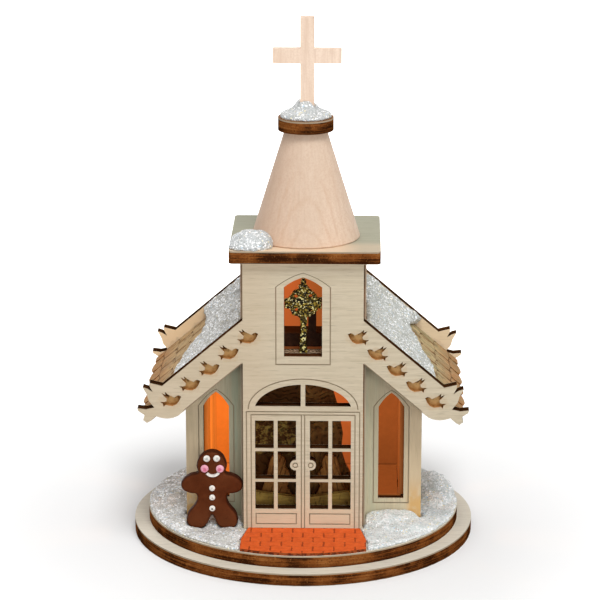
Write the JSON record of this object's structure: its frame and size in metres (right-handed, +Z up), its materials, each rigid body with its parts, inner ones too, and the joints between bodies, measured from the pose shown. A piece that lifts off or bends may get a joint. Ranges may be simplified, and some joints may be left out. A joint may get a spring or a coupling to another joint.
{
  "type": "chapel ornament",
  "caption": "Plywood chapel ornament on round discs, with a turned steeple and cross, wings of engraved doves, glitter snow, a gingerbread figure and an amber-lit nativity behind glazed doors.",
  "frame": {"origin": "centre of the underside of the lower base disc", "axes": "+Z up to the steeple cross, -Y out of the doors, +X to the viewer's right"},
  "size_m": [0.087, 0.087, 0.1342],
  "materials": {
    "birch_ply": "pale birch plywood, laser cut, with charred brown edges",
    "roof_ply": "birch plywood with engraved, lightly burnt shingle scallops",
    "turned_maple": "bare sanded maple",
    "glitter_snow": "rough white snow paste with fine glitter",
    "brick_stain": "thin ply stained orange red, engraved as bricks",
    "brown_clay": "dark brown modelling clay, slightly satin",
    "white_icing": "white paint dots, slightly raised",
    "pink_icing": "pink paint dots, slightly raised",
    "gold_glitter": "old gold glitter",
    "dark_stain": "dark brown stain",
    "figure_stain": "mid brown stain with engraved lines",
    "olive_stain": "olive green stain",
    "amber_card": "amber orange card, lit by the lamp",
    "holder_plastic": "dark green moulded plastic",
    "bulb_glass": "clear glass, warm filament"
  },
  "bodies": {
    "root": {"amber_liner": "amber_card", "belfry_cross_stand": "dark_stain", "belfry_gold_cross": "gold_glitter", "belfry_liner": "amber_card", "brick_path": "brick_stain", "bulb_holder": "holder_plastic", "front_panel": "birch_ply", "gingerbread_body": "brown_clay", "gingerbread_button_1": "white_icing", "gingerbread_button_2": "white_icing", "gingerbread_button_3": "white_icing", "gingerbread_cheek_left": "pink_icing", "gingerbread_cheek_right": "pink_icing", "gingerbread_eye_left": "white_icing", "gingerbread_eye_right": "white_icing", "gingerbread_smile": "white_icing", "light_bulb": "bulb_glass", "lower_base_disc": "birch_ply", "nativity_backdrop": "dark_stain", "nativity_figures": "figure_stain", "nativity_ground": "olive_stain", "nave_front_left": "birch_ply", "nave_front_right": "birch_ply", "nave_side_left": "birch_ply", "nave_side_right": "birch_ply", "rear_panel": "birch_ply", "roof_left": "roof_ply", "roof_right": "roof_ply", "snow_base_left": "glitter_snow", "snow_base_rear": "glitter_snow", "snow_base_right": "glitter_snow", "snow_cap": "glitter_snow", "snow_cross_foot": "glitter_snow", "snow_ridge": "glitter_snow", "snow_roof_left": "glitter_snow", "snow_roof_right": "glitter_snow", "steeple_cone": "turned_maple", "steeple_cross": "turned_maple", "steeple_disc": "birch_ply", "steeple_dowel": "turned_maple", "tower_back": "birch_ply", "tower_cap": "birch_ply", "tower_floor": "birch_ply", "tower_side_left": "birch_ply", "tower_side_right": "birch_ply", "upper_base_disc": "birch_ply"}
  },
  "joints": []
}
